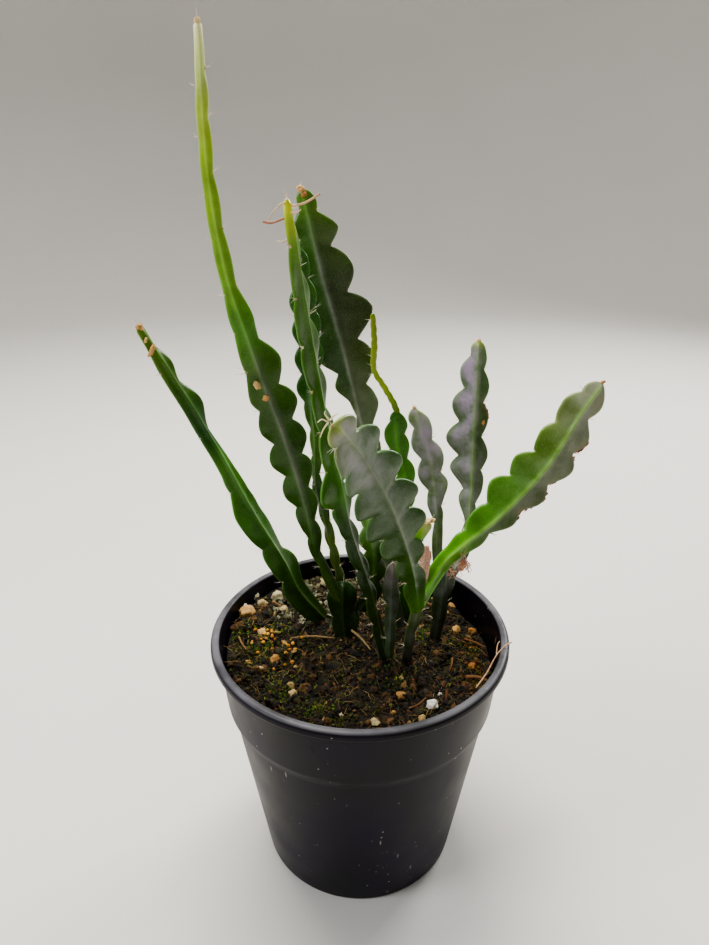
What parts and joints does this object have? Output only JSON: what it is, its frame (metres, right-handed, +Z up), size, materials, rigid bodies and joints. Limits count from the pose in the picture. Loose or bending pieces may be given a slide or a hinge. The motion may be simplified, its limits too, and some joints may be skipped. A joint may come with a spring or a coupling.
{
  "type": "potted fishbone cactus",
  "caption": "Fishbone cactus with flat, deeply lobed green stems standing in potting mix in a round black nursery pot with drain holes.",
  "frame": {"origin": "middle of the flat underside of the pot, on the surface that it stands on", "axes": "+Z up along the pot's axis, -Y towards the viewer of the picture, +X to the viewer's right"},
  "size_m": [0.142, 0.1224, 0.2761],
  "materials": {
    "pot_plastic": "black moulded polypropylene with a soft satin sheen, dusty and lightly scratched",
    "potting_mix": "moist dark peat and bark with perlite, grit and moss",
    "stem_green": "waxy, fleshy plant skin, mid to dark green",
    "stem_young": "waxy, fleshy plant skin, yellow-green",
    "stem_grey": "waxy, fleshy plant skin with a pale grey bloom"
  },
  "bodies": {
    "root": {"pot": "pot_plastic", "potting_mix": "potting_mix", "stem_left": "stem_green", "crown_left": "stem_green", "stem_broad": "stem_green", "stem_whip": "stem_green", "crown_front": "stem_young", "crown_right": "stem_young", "crown_back": "stem_grey"}
  },
  "joints": []
}
